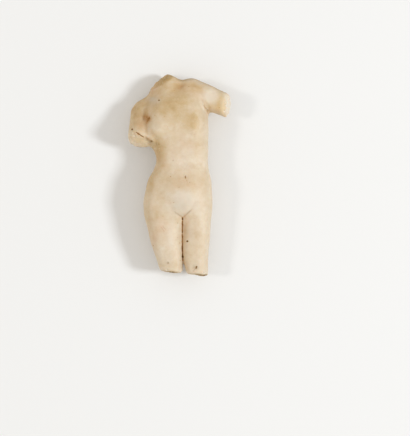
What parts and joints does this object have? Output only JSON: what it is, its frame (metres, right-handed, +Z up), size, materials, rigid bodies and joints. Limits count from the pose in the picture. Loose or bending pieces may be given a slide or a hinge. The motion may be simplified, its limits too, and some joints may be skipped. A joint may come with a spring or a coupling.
{
  "type": "marble torso",
  "caption": "Small carved marble torso of a standing nude woman, broken at the neck, both upper arms and thighs, lying on its back.",
  "frame": {"origin": "centre of the footprint, at the level it lies on", "axes": "+Z up out of the chest and belly, +Y towards the neck, +X towards the raised arm"},
  "size_m": [0.0606, 0.12, 0.0269],
  "materials": {
    "marble": null
  },
  "bodies": {
    "root": {"marble_torso": "marble"}
  },
  "joints": []
}
